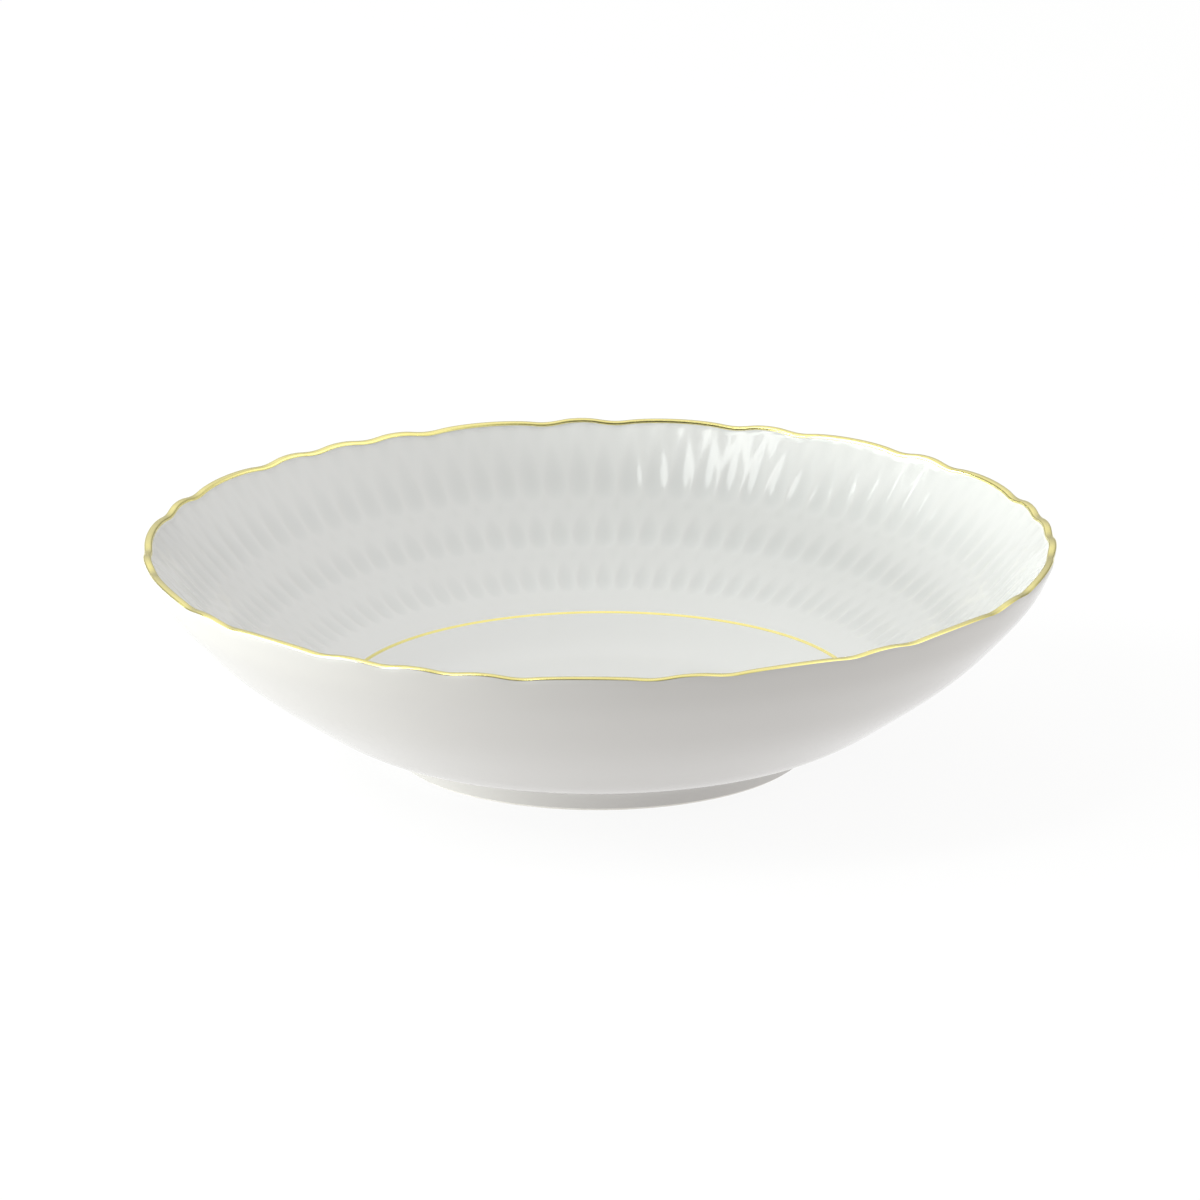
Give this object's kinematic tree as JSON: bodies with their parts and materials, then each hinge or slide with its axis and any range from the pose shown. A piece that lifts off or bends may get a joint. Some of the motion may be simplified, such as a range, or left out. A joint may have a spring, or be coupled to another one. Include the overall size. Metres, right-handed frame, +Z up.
{
  "type": "serving bowl",
  "caption": "Shallow round porcelain serving bowl on a ring foot, with a scalloped gilt lip, a fluted inner wall and a gilt line round its well.",
  "frame": {"origin": "on the table under the middle of the foot", "axes": "+Z up along the bowl's axis, +Y away from the side that the picture was taken from"},
  "size_m": [0.2609, 0.261, 0.0617],
  "materials": {
    "bare_porcelain": "fired, unglazed and lightly polished, warm off-white",
    "white_glaze": "clear high-gloss glaze over white porcelain",
    "gold": "bright gold, fired on, satin to glossy"
  },
  "bodies": {
    "root": {"bowl_body": "bare_porcelain", "foot_ring": "bare_porcelain", "inside_glaze": "white_glaze", "outside_glaze": "white_glaze", "recess_glaze": "white_glaze", "rim_gilding": "gold", "well_gold_line": "gold"}
  },
  "joints": []
}
